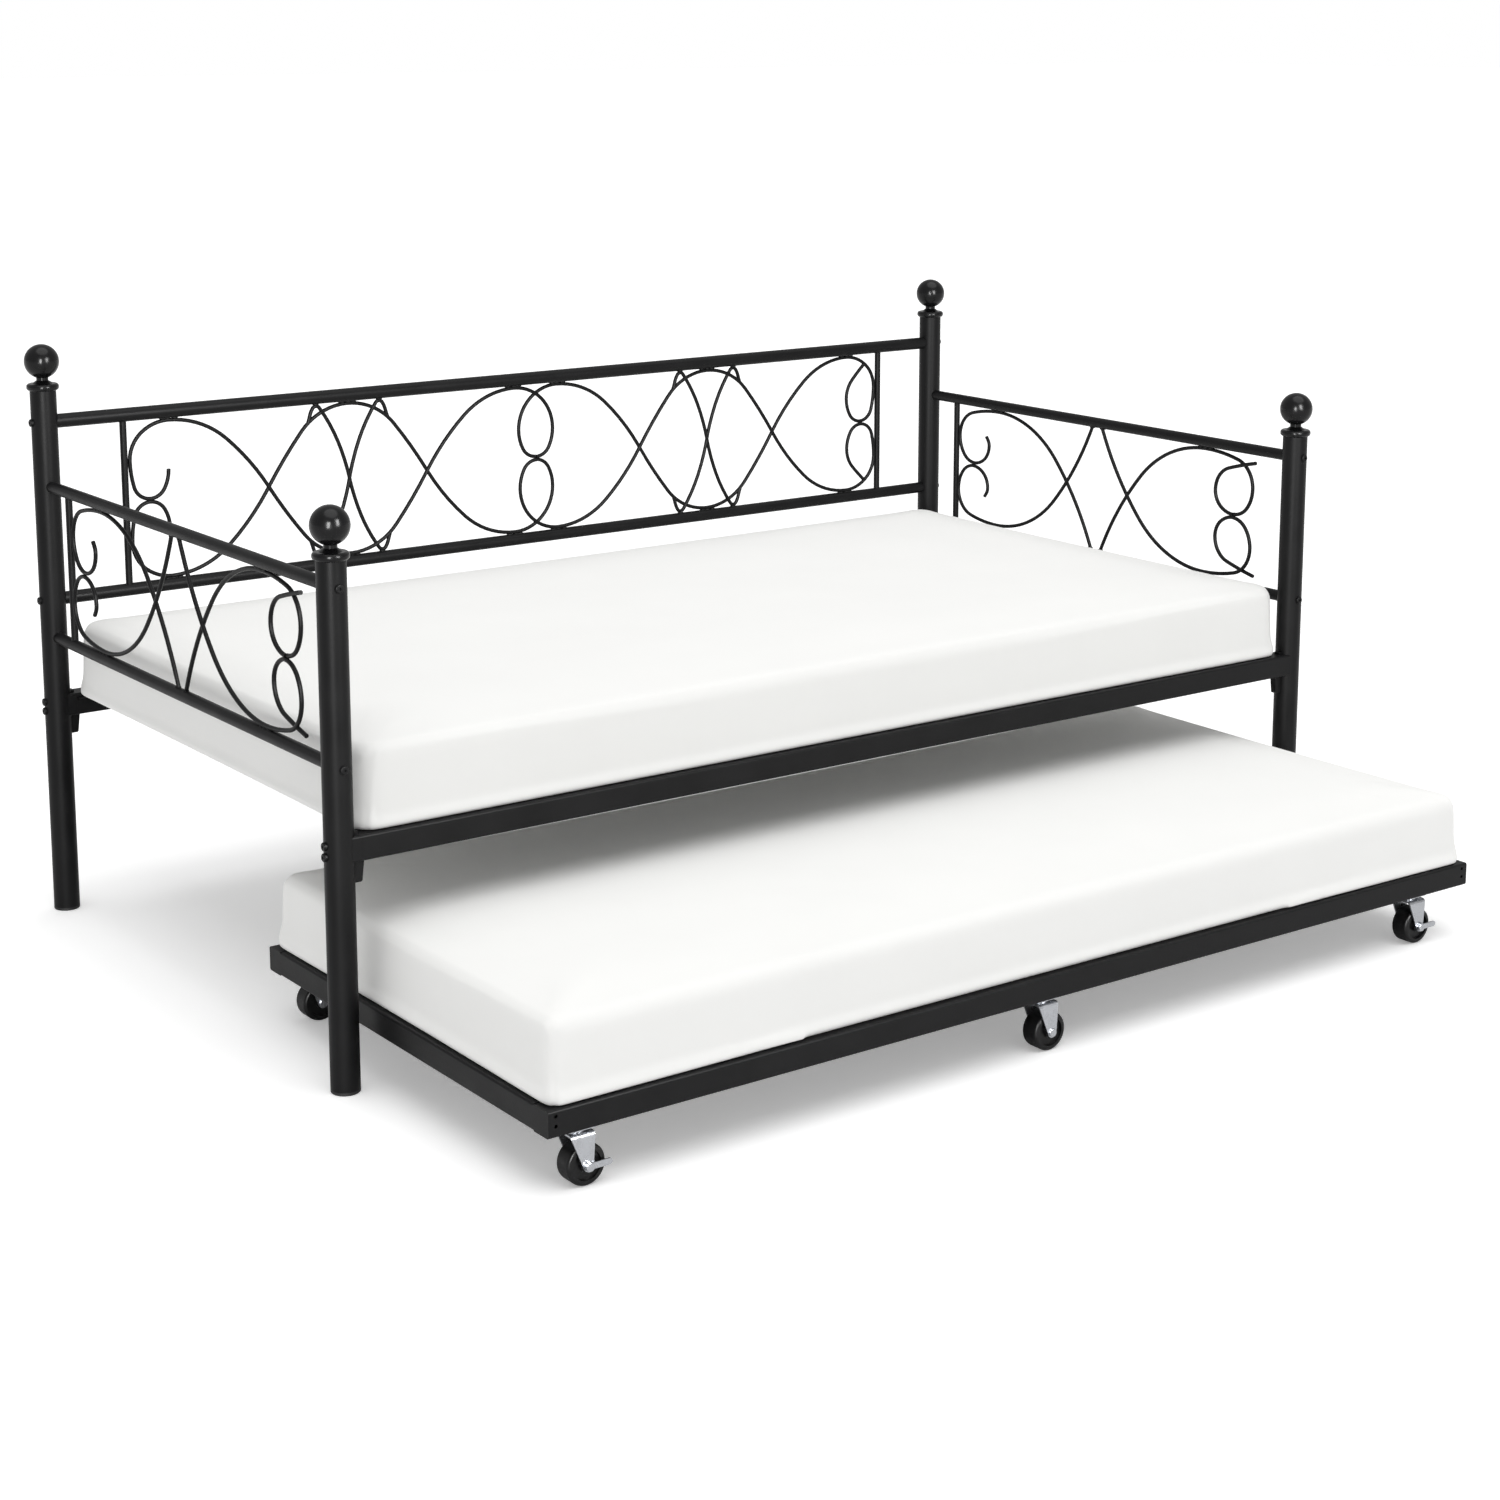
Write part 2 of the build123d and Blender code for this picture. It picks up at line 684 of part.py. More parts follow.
def caster_places():
    """Each caster's name and its kingpin's place in plan."""
    places = {}
    rows = (("front", trundle_front + caster_setback), ("back", trundle_back - caster_setback))
    first = trundle_left + caster_left_inset
    last = trundle_right - caster_right_inset
    columns = (("left", first), ("middle", (first + last) / 2), ("right", last))
    for row, y in rows:
        for column, x in columns:
            places[row + "_" + column] = (x, y)
    return places


def corner_screw_places():
    """X and Z of the screws at each end of a long rail."""
    xs = (trundle_left + corner_screw_inset, trundle_right - corner_screw_inset)
    return [(x, trundle_top - drop) for x in xs for drop in corner_screw_drops]


def plate_bolt_places():
    """The plan places of the four bolts of every caster plate."""
    return [(x + dx, y + dy) for x, y in caster_places().values() for dx, dy in plate_bolt_offsets]


def trundle_long_rail(sy):
    """The front (-1) or back (1) rail, with a slat ledge and holes for the plate bolts and corner screws."""
    face = trundle_front if sy < 0 else trundle_back
    inner = face - sy * tube_side
    middle = (face + inner) / 2
    z = trundle_z + tube_side / 2
    rail = square_x(tube_side, tube_corner, trundle_left, trundle_right, middle, z)
    end_room = tube_side + slat_end_gap
    rail += slat_ledge(trundle_left + end_room, trundle_right - end_room, inner, -sy, trundle_top)
    bore_left = trundle_left + square_wall
    bore_right = trundle_right - square_wall
    rail -= square_x(tube_bore, bore_corner, bore_left, bore_right, middle, z)
    for x, z in corner_screw_places():
        rail -= cyl_y(access_hole_dia, face + sy * over_cut, middle, x, z)
        rail -= cyl_y(corner_screw_dia + 2 * seat_gap, middle, inner - sy * over_cut, x, z)
    for x, y in plate_bolt_places():
        if abs(y - middle) < tube_side / 2:
            hole = plate_bolt_dia + 2 * seat_gap
            rail -= cyl_z(hole, trundle_z - over_cut, trundle_z + tube_side / 2, x, y)
    return rail


def trundle_end_rail(sx):
    """The left (-1) or right (1) rail, solid at its ends for the corner screws."""
    face = trundle_left if sx < 0 else trundle_right
    inner = face - sx * tube_side
    middle = (face + inner) / 2
    y0 = trundle_front + tube_side
    y1 = trundle_back - tube_side
    z = trundle_z + tube_side / 2
    rail = square_y(tube_side, tube_corner, y0, y1, middle, z)
    rail -= square_y(tube_bore, bore_corner, y0 + end_rail_plug, y1 - end_rail_plug, middle, z)
    for x, z in corner_screw_places():
        if abs(x - middle) < tube_side / 2:
            rail -= cyl_y(corner_screw_dia + 2 * seat_gap, y0 - over_cut, y1 + over_cut, x, z)
    return rail


def corner_screws():
    """Screws that bear on the inner wall of a long rail and thread into an end rail."""
    screws = []
    for face, sy in ((trundle_front, -1), (trundle_back, 1)):
        seat = face - sy * (tube_side - square_wall)
        for x, z in corner_screw_places():
            head = cyl_y(corner_screw_head_dia, seat + sy * corner_screw_head, seat, x, z)
            tip = face - sy * (tube_side + end_rail_plug - seat_gap)
            screws.append(head + cyl_y(corner_screw_dia, seat + sy * corner_screw_head / 2, tip, x, z))
    return screws


axle_z = wheel_dia / 2
plate_under = caster_height - plate_thick
cup_under = plate_under - cup_height
crown_top = cup_under - swivel_gap
crown_under = crown_top - fork_sheet
hub_half = wheel_width / 2 + wheel_hub_proud
leg_inner = hub_half + hub_gap
leg_outer = leg_inner + fork_sheet
plate_bolt_offsets = [(sx * plate_bolt_x, sy * plate_bolt_y) for sx in (-1, 1) for sy in (-1, 1)]


def caster_plate(x, y):
    """A flat plate with the upper bearing cup below it."""
    outline = RectangleRounded(plate_length, plate_depth, plate_corner)
    plate = Pos(0, 0, plate_under) * extrude(outline, plate_thick)
    plate += cyl_z(cup_dia, cup_under, plate_under, 0, 0)
    plate -= cyl_z(kingpin_dia + 2 * seat_gap, cup_under, caster_height, 0, 0)
    hole = plate_bolt_dia + 2 * seat_gap
    for dx, dy in plate_bolt_offsets:
        plate -= cyl_z(hole, plate_under, caster_height, dx, dy)
    return Pos(x, y, 0) * plate


def plate_bolt(x, y):
    """A pan-head bolt up through a caster plate into the rail."""
    head = cyl_z(plate_bolt_head_dia, plate_under - plate_bolt_head, plate_under, x, y)
    head = fillet(head.edges().sort_by(Axis.Z)[0], plate_bolt_head_round)
    return head + cyl_z(plate_bolt_dia, plate_under, caster_height + plate_bolt_rise, x, y)


def kingpin(x, y):
    """The rivet that a fork swivels on, its head below the crown."""
    head_top = crown_under - swivel_gap
    head = cyl_z(kingpin_head_dia, head_top - kingpin_head, head_top, x, y)
    head = fillet(head.edges().sort_by(Axis.Z)[0], kingpin_head_round)
    return head + cyl_z(kingpin_dia, head_top, caster_height - seat_gap, x, y)


def bent_block(half_width, top, bend):
    """A block from the floor up to the crown, its two upper long edges rounded."""
    solid = block(-crown_length / 2, crown_length / 2, -half_width, half_width, 0, top)
    return fillet(solid.edges().filter_by(Axis.X).group_by(Axis.Z)[-1], bend)


def caster_fork(x, y):
    """A stamped fork: sheet bent down from a crown into two legs that taper to the axle."""
    sheet = bent_block(leg_outer, crown_top, crown_bend)
    sheet -= bent_block(leg_inner, crown_under, crown_bend - fork_sheet)
    boss = Pos(caster_trail, axle_z) * Circle(axle_boss_radius)
    shoulder = Pos(0, (crown_under + crown_top) / 2) * Rectangle(crown_length, fork_sheet)
    outline = make_hull(boss.edges() + shoulder.edges())
    fork = sheet & extrude(Plane.XZ.offset(-leg_outer) * outline, 2 * leg_outer)
    fork -= cyl_z(kingpin_dia + 2 * turn_gap, crown_under, crown_top, 0, 0)
    fork -= cyl_y(axle_dia + 2 * seat_gap, -leg_outer, leg_outer, caster_trail, axle_z)
    return Pos(x, y, 0) * fork


def caster_axle(name, x, y):
    """The rivet through a fork's legs, with room for a brake lever where there is one."""
    front = leg_outer + seat_gap
    if name in braked:
        front += lever_sheet + 2 * swivel_gap
    back = leg_outer + seat_gap
    axle = cyl_y(axle_dia, -front, back, 0, 0)
    axle += cyl_y(axle_head_dia, -front - axle_head, -front, 0, 0)
    axle += cyl_y(axle_head_dia, back, back + axle_head, 0, 0)
    rims = axle.edges().filter_by(GeomType.CIRCLE).sort_by(Axis.Y)
    axle = fillet([rims[0], rims[-1]], axle_head_round)
    return Pos(x + caster_trail, y, axle_z) * axle


def caster_wheel(x, y):
    """A moulded wheel with a rounded tread, dished sides and a hub."""
    bore_r = axle_dia / 2 + turn_gap
    half = wheel_width / 2
    web = half - wheel_dish
    side = [
        (bore_r, hub_half),
        (wheel_hub_dia / 2, hub_half),
        (wheel_hub_dia / 2, web),
        (wheel_dish_dia / 2, web),
        (wheel_dish_dia / 2, half),
        (wheel_dia / 2, half),
    ]
    outline = side + [(r, -w) for r, w in reversed(side)]
    profile = make_face(Polyline(*outline, close=True))
    rims = [vertex for vertex in profile.vertices() if vertex.X > wheel_dia / 2 - 1e-3]
    profile = fillet(rims, tread_round)
    return Pos(x + caster_trail, y, axle_z) * revolve(profile, Axis.Y)


def brake_lever(x, y):
    """A flat lever that turns on the axle outside the front leg."""
    front = -leg_outer - seat_gap - swivel_gap
    tip = lever_length - lever_depth / 2
    eye = Circle(lever_eye_dia / 2)
    blade = Pos(tip / 2, 0) * Rectangle(tip, lever_depth) + Pos(tip, 0) * Circle(lever_depth / 2)
    outline = eye + blade - Circle(axle_dia / 2 + turn_gap)
    lever = extrude(Plane.XZ.offset(-front) * outline, lever_sheet)
    return Pos(x + caster_trail, y, axle_z) * lever


def daybed_nodes():
    """The pieces of the daybed."""
    nodes = {}
    for corner in corners:
        nodes[corner + "_post"] = [post(corner)]
        nodes[corner + "_finial"] = [finial(corner)]
    nodes["post_collars"] = [collar(corner) for corner in corners]
    nodes["foot_glides"] = [glide(corner) for corner in corners]
    nodes["back_top_rail"] = [round_rail_x(back_top_dia, half_y, back_top_z)]
    nodes["back_bottom_rail"] = [round_rail_x(back_bottom_dia, half_y, back_bottom_z)]
    low = cyl_x(back_bottom_dia + 2 * seat_gap, -half_x, half_x, half_y, back_bottom_z)
    high = cyl_x(back_top_dia + 2 * seat_gap, -half_x, half_x, half_y, back_top_z)
    nodes["back_bars"] = [
        upright(x, half_y, back_bottom_z, back_top_z, low, high) for x in (-back_bar_x, back_bar_x)
    ]
    nodes["back_scrollwork"] = [back_scrollwork()]
    for side, x in (("left", -half_x), ("right", half_x)):
        nodes[side + "_top_rail"] = [round_rail_y(side_rail_dia, x, side_top_z)]
        nodes[side + "_bottom_rail"] = [round_rail_y(side_rail_dia, x, side_bottom_z)]
        low = cyl_y(side_rail_dia + 2 * seat_gap, -half_y, half_y, x, side_bottom_z)
        high = cyl_y(side_rail_dia + 2 * seat_gap, -half_y, half_y, x, side_top_z)
        nodes[side + "_bar"] = [upright(x, side_bar_y, side_bottom_z, side_top_z, low, high)]
        nodes[side + "_scrollwork"] = side_scrollwork(x)
    nodes["front_rail"] = [bed_rail(-1)]
    nodes["back_rail"] = [bed_rail(1)]
    nodes["rail_brackets"] = [rail_bracket(corner) for corner in corners]
    nodes["panel_bolts"] = panel_bolts()
    nodes["rail_bolts"] = rail_bolts()
    nodes["bed_slats"] = bed_slats()
    nodes["bed_mattress"] = [bed_mattress()]
    return nodes


def trundle_nodes():
    """The pieces of the trundle and its casters."""
    places = caster_places()
    nodes = {
        "trundle_front_rail": [trundle_long_rail(-1)],
        "trundle_back_rail": [trundle_long_rail(1)],
        "trundle_left_rail": [trundle_end_rail(-1)],
        "trundle_right_rail": [trundle_end_rail(1)],
        "trundle_slats": trundle_slats(),
        "corner_screws": corner_screws(),
        "caster_plates": [caster_plate(x, y) for x, y in places.values()],
        "plate_bolts": [plate_bolt(x, y) for x, y in plate_bolt_places()],
        "kingpins": [kingpin(x, y) for x, y in places.values()],
        "trundle_mattress": [trundle_mattress()],
    }
    for name, (x, y) in places.items():
        nodes[name + "_fork"] = [caster_fork(x, y)]
        nodes[name + "_axle"] = [caster_axle(name, x, y)]
        nodes[name + "_wheel"] = [caster_wheel(x, y)]
        if name in braked:
            nodes[name + "_brake_lever"] = [brake_lever(x, y)]
    return nodes


def export(nodes):
    """Write each node, with the origin on the floor at the middle of the part's box."""
    os.makedirs("parts", exist_ok=True)
    for name, pieces in nodes.items():
        solids = [solid for piece in pieces for solid in piece.solids()]
        placed = [Pos(0, -datum_y, 0) * solid for solid in solids]
        shape = placed[0] if len(placed) == 1 else Compound(children=placed)
        export_step(shape, os.path.join("parts", name + ".step"))


export({**daybed_nodes(), **trundle_nodes()})
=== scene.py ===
"""Dresses a metal trundle bed: coated tubes, plated casters, weld beads, two mattresses and a stage."""
import json
from math import cos, pi, radians, sin, sqrt

import bpy
from bpy.props import FloatProperty, FloatVectorProperty, IntProperty, PointerProperty
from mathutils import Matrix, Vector


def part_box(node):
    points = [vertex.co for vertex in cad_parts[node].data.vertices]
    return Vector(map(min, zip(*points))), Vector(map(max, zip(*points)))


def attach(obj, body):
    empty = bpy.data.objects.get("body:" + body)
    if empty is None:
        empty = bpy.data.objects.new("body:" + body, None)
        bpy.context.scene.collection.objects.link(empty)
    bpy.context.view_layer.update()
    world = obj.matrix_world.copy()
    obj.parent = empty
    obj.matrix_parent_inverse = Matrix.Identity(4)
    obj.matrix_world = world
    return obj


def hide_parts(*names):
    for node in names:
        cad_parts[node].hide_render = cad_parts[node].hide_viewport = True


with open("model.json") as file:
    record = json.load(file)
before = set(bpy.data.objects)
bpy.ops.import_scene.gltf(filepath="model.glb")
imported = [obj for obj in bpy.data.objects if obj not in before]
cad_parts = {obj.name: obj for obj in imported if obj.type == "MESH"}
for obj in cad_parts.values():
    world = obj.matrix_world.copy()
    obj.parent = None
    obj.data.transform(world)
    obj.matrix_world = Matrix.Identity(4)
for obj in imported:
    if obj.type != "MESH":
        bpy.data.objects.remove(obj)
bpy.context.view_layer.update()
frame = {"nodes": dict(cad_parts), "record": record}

bl_info = {
    "name": "Trundle Bed",
    "version": (1, 0, 0),
    "blender": (4, 5, 0),
    "location": "3D View > Sidebar > Trundle Bed",
    "description": "Finishes, weld beads, mattresses and stage for a metal daybed with a roll-out trundle",
    "category": "Object",
}


def linear(hex_colour):
    """Linear RGB of an sRGB colour written as #rrggbb."""
    channels = [int(hex_colour[i:i + 2], 16) / 255 for i in (1, 3, 5)]
    return tuple(c / 12.92 if c <= 0.04045 else ((c + 0.055) / 1.055) ** 2.4 for c in channels)


def opaque(colour):
    """A colour with the alpha that a colour socket wants."""
    return (*colour, 1.0)


def per_mm(size):
    """Texture scale, in repeats per metre, of a pattern whose repeat is that many millimetres."""
    return 1000.0 / size


class FinishSettings(bpy.types.PropertyGroup):
    """Colours of the five finishes"""

    coat: FloatVectorProperty(
        name="Powder coat", description="Colour of the coated steel", subtype="COLOR",
        default=linear("#131314"), min=0.0, max=1.0,
    )
    zinc: FloatVectorProperty(
        name="Zinc plate", description="Colour of the plated casters and screws", subtype="COLOR",
        default=linear("#b4b6ba"), min=0.0, max=1.0,
    )
    wheel: FloatVectorProperty(
        name="Wheels", description="Colour of the moulded wheels", subtype="COLOR",
        default=linear("#0b0b0c"), min=0.0, max=1.0,
    )
    glide: FloatVectorProperty(
        name="Foot glides", description="Colour of the plastic feet", subtype="COLOR",
        default=linear("#101011"), min=0.0, max=1.0,
    )
    cover: FloatVectorProperty(
        name="Mattress cover", description="Colour of the knitted cover", subtype="COLOR",
        default=linear("#f8f8f6"), min=0.0, max=1.0,
    )


class WeldSettings(bpy.types.PropertyGroup):
    """Sizes of the weld beads on the scroll panels"""

    length: FloatProperty(
        name="Length", description="Length of one bead along its rail", default=0.011, min=0.002,
        unit="LENGTH",
    )
    width: FloatProperty(
        name="Width", description="Width of one bead", default=0.0046, min=0.001, unit="LENGTH",
    )
    ripples: IntProperty(
        name="Ripples", description="Ripples left by the weld pool", default=4, min=1, max=12,
    )
    reach: FloatProperty(
        name="Reach", description="How near a rod comes to a rail where it is welded to it", default=0.0009,
        min=0.0001, precision=4, unit="LENGTH",
    )


class PaddingSettings(bpy.types.PropertyGroup):
    """How the mattresses are padded"""

    voxel: FloatProperty(
        name="Mesh size", description="Face size of the cover before it is subdivided", default=0.010,
        min=0.004, unit="LENGTH",
    )
    slack: FloatProperty(
        name="Slack", description="How much smaller the cover starts than the finished mattress",
        default=0.005, min=0.0, unit="LENGTH",
    )
    swell: FloatProperty(
        name="Swell", description="The most that the padding pushes the cover out", default=0.0055, min=0.0,
        precision=4, unit="LENGTH",
    )
    settle: FloatProperty(
        name="Settle", description="Height of the lower edge that the weight presses down", default=0.014,
        min=0.001, unit="LENGTH",
    )
    pressure: FloatProperty(
        name="Pressure", description="Push of the padding inside the cover", default=4.0, min=0.0,
    )
    frames: IntProperty(
        name="Frames", description="Frames through which the padding pushes", default=20, min=2, max=250,
    )
    fill: FloatProperty(
        name="Fill", description="From slack at 0 to tight at 1", default=0.92, min=0.0, max=1.0,
        subtype="FACTOR",
    )


class StageSettings(bpy.types.PropertyGroup):
    """Camera, floor and light"""

    camera_place: FloatVectorProperty(
        name="Camera", description="Where the camera stands", default=(-2.7095, -3.6649, 1.5326),
        unit="LENGTH",
    )
    camera_heading: FloatProperty(
        name="Heading", description="Turn of the camera from straight ahead", default=radians(-36.065),
        unit="ROTATION",
    )
    camera_dip: FloatProperty(
        name="Dip", description="How far the camera looks below the horizon", default=radians(10.546),
        unit="ROTATION",
    )
    camera_lens: FloatProperty(
        name="Lens", description="Focal length on a 36 mm sensor", default=65.93, unit="CAMERA",
    )
    camera_shift: FloatProperty(name="Shift", description="Vertical shift of the lens", default=-0.15)
    floor_reach: FloatProperty(
        name="Floor", description="Half the width of the floor", default=60.0, unit="LENGTH",
    )
    floor_colour: FloatVectorProperty(
        name="Floor colour", description="Colour of the studio floor", subtype="COLOR",
        default=linear("#fbfbfb"), min=0.0, max=1.0,
    )
    sky_strength: FloatProperty(
        name="Studio light", description="Soft light from all round", default=0.54, min=0.0,
    )
    lamp_strength: FloatProperty(
        name="Overhead lamp", description="Strength of the overhead lamp", default=1.62, min=0.0,
    )
    lamp_spread: FloatProperty(
        name="Lamp spread", description="How wide the overhead lamp is", default=radians(60.0),
        unit="ROTATION",
    )
    lamp_from: FloatVectorProperty(
        name="Lamp side", description="Direction towards the overhead lamp", default=(0.03, -0.2, 0.97),
        subtype="DIRECTION",
    )
    highlights: FloatProperty(
        name="Highlights", description="Strength of the softboxes that show as highlights", default=1.0,
        min=0.0,
    )
    floor_lift: FloatProperty(
        name="Floor lift", description="How far the floor is lifted towards plain white", default=0.28,
        min=0.0, max=1.0, subtype="FACTOR",
    )


def add_node(tree, kind, sockets=None, **settings):
    """Adds one node: settings are its properties, sockets its constants or the outputs linked to them."""
    node = tree.nodes.new(kind)
    for name, value in settings.items():
        setattr(node, name, value)
    for name, value in (sockets or {}).items():
        if isinstance(value, bpy.types.NodeSocket):
            tree.links.new(value, node.inputs[name])
        else:
            node.inputs[name].default_value = value
    return node


def blank_material(name):
    """A new material's node tree, and the material."""
    material = bpy.data.materials.new(name)
    material.use_nodes = True
    material.node_tree.nodes.clear()
    return material.node_tree, material


def powder_coated_steel(colour):
    """Satin black polyester powder, baked on steel tube."""
    # Baking leaves a faint orange peel of about 2 mm, as fine as a pixel, so it is drawn at 5 mm.
    # The film is a little glossier in some places than in others, so long highlights on the tubes break up.
    tree, material = blank_material("satin_powder_coated_steel")
    place = add_node(tree, "ShaderNodeTexCoord").outputs["Object"]
    cloud = add_node(tree, "ShaderNodeTexNoise", {"Vector": place, "Scale": per_mm(70), "Detail": 3.0})
    gloss = add_node(tree, "ShaderNodeMapRange", {
        "Value": cloud.outputs["Fac"], "From Min": 0.3, "From Max": 0.7, "To Min": 0.36, "To Max": 0.46,
    })
    tint = add_node(tree, "ShaderNodeValToRGB", {"Fac": cloud.outputs["Fac"]})
    tint.color_ramp.elements[0].position = 0.25
    tint.color_ramp.elements[0].color = opaque([c * 0.86 for c in colour])
    tint.color_ramp.elements[1].position = 0.75
    tint.color_ramp.elements[1].color = opaque([c * 1.14 for c in colour])
    peel = add_node(tree, "ShaderNodeTexNoise", {"Vector": place, "Scale": per_mm(5), "Detail": 1.0})
    bump = add_node(tree, "ShaderNodeBump", {
        "Height": peel.outputs["Fac"], "Strength": 0.18, "Distance": 0.0004,
    })
    shader = add_node(tree, "ShaderNodeBsdfPrincipled", {
        "Base Color": tint.outputs["Color"], "Roughness": gloss.outputs["Result"],
        "Specular IOR Level": 0.15, "Normal": bump.outputs["Normal"],
    })
    add_node(tree, "ShaderNodeOutputMaterial", {"Surface": shader.outputs["BSDF"]})
    return material


def gloss_enamelled_steel(colour):
    """Gloss black enamel on spun steel, as on a ball finial and its collar."""
    # The enamel flows out almost flat, so lamps show in it as small soft spots.
    # A slow ripple of about 8 mm is left in it.
    tree, material = blank_material("gloss_black_enamel")
    place = add_node(tree, "ShaderNodeTexCoord").outputs["Object"]
    ripple = add_node(tree, "ShaderNodeTexNoise", {"Vector": place, "Scale": per_mm(8), "Detail": 1.0})
    gloss = add_node(tree, "ShaderNodeMapRange", {
        "Value": ripple.outputs["Fac"], "From Min": 0.3, "From Max": 0.7, "To Min": 0.2, "To Max": 0.25,
    })
    bump = add_node(tree, "ShaderNodeBump", {
        "Height": ripple.outputs["Fac"], "Strength": 0.03, "Distance": 0.0005,
    })
    shader = add_node(tree, "ShaderNodeBsdfPrincipled", {
        "Base Color": opaque(colour), "Roughness": gloss.outputs["Result"],
        "Specular IOR Level": 0.22, "Normal": bump.outputs["Normal"],
    })
    add_node(tree, "ShaderNodeOutputMaterial", {"Surface": shader.outputs["BSDF"]})
    return material


def zinc_plated_steel(colour):
    """Stamped steel with bright zinc plating."""
    # The plating is bright but thin: it keeps the faint cloud of the bath and the grain of the strip.
    # That grain is about 0.3 mm wide and eight times as long, drawn at 1.2 mm so that it shows.
    tree, material = blank_material("bright_zinc_plated_steel")
    place = add_node(tree, "ShaderNodeTexCoord").outputs["Object"]
    cloud = add_node(tree, "ShaderNodeTexNoise", {"Vector": place, "Scale": per_mm(9), "Detail": 4.0})
    gloss = add_node(tree, "ShaderNodeMapRange", {
        "Value": cloud.outputs["Fac"], "From Min": 0.3, "From Max": 0.7, "To Min": 0.24, "To Max": 0.32,
    })
    tint = add_node(tree, "ShaderNodeValToRGB", {"Fac": cloud.outputs["Fac"]})
    tint.color_ramp.elements[0].position = 0.2
    tint.color_ramp.elements[0].color = opaque([c * 0.92 for c in colour])
    tint.color_ramp.elements[1].position = 0.8
    tint.color_ramp.elements[1].color = opaque(colour)
    strip = add_node(tree, "ShaderNodeMapping", {"Vector": place, "Scale": (1.0, 1.0, 0.12)})
    grain = add_node(tree, "ShaderNodeTexNoise", {
        "Vector": strip.outputs["Vector"], "Scale": per_mm(1.2), "Detail": 2.0,
    })
    bump = add_node(tree, "ShaderNodeBump", {
        "Height": grain.outputs["Fac"], "Strength": 0.06, "Distance": 0.0002,
    })
    shader = add_node(tree, "ShaderNodeBsdfPrincipled", {
        "Base Color": tint.outputs["Color"], "Metallic": 1.0, "Roughness": gloss.outputs["Result"],
        "Normal": bump.outputs["Normal"],
    })
    add_node(tree, "ShaderNodeOutputMaterial", {"Surface": shader.outputs["BSDF"]})
    return material


def moulded_polypropylene(colour):
    """Black polypropylene, injection moulded."""
    # A mould with a satin texture gives soft highlights, and rolling leaves the tread a little duller.
    # The texture is about 0.4 mm, drawn at 1.5 mm so that it shows.
    tree, material = blank_material("moulded_black_polypropylene")
    place = add_node(tree, "ShaderNodeTexCoord").outputs["Object"]
    scuff = add_node(tree, "ShaderNodeTexNoise", {"Vector": place, "Scale": per_mm(12), "Detail": 6.0})
    gloss = add_node(tree, "ShaderNodeMapRange", {
        "Value": scuff.outputs["Fac"], "From Min": 0.35, "From Max": 0.7, "To Min": 0.3, "To Max": 0.5,
    })
    tint = add_node(tree, "ShaderNodeValToRGB", {"Fac": scuff.outputs["Fac"]})
    tint.color_ramp.elements[0].position = 0.45
    tint.color_ramp.elements[0].color = opaque(colour)
    tint.color_ramp.elements[1].position = 0.8
    tint.color_ramp.elements[1].color = opaque([c * 1.8 for c in colour])
    texture = add_node(tree, "ShaderNodeTexNoise", {"Vector": place, "Scale": per_mm(1.5), "Detail": 1.0})
    bump = add_node(tree, "ShaderNodeBump", {
        "Height": texture.outputs["Fac"], "Strength": 0.15, "Distance": 0.0002,
    })
    shader = add_node(tree, "ShaderNodeBsdfPrincipled", {
        "Base Color": tint.outputs["Color"], "Roughness": gloss.outputs["Result"], "IOR": 1.49,
        "Specular IOR Level": 0.25, "Normal": bump.outputs["Normal"],
    })
    add_node(tree, "ShaderNodeOutputMaterial", {"Surface": shader.outputs["BSDF"]})
    return material


def moulded_polyethylene(colour):
    """Black polyethylene, the waxy plastic of a foot glide."""
    # It is soft and waxy, so it looks duller than the coat above it and scuffs in marks of about 6 mm.
    tree, material = blank_material("moulded_black_polyethylene")
    place = add_node(tree, "ShaderNodeTexCoord").outputs["Object"]
    scuff = add_node(tree, "ShaderNodeTexNoise", {"Vector": place, "Scale": per_mm(6), "Detail": 5.0})
    gloss = add_node(tree, "ShaderNodeMapRange", {
        "Value": scuff.outputs["Fac"], "From Min": 0.3, "From Max": 0.7, "To Min": 0.5, "To Max": 0.66,
    })
    bump = add_node(tree, "ShaderNodeBump", {
        "Height": scuff.outputs["Fac"], "Strength": 0.12, "Distance": 0.0003,
    })
    shader = add_node(tree, "ShaderNodeBsdfPrincipled", {
        "Base Color": opaque(colour), "Roughness": gloss.outputs["Result"], "IOR": 1.51,
        "Normal": bump.outputs["Normal"],
    })
    add_node(tree, "ShaderNodeOutputMaterial", {"Surface": shader.outputs["BSDF"]})
    return material


# Radians through which a wave texture of scale 1 turns in a metre
wave_turn = 20.0


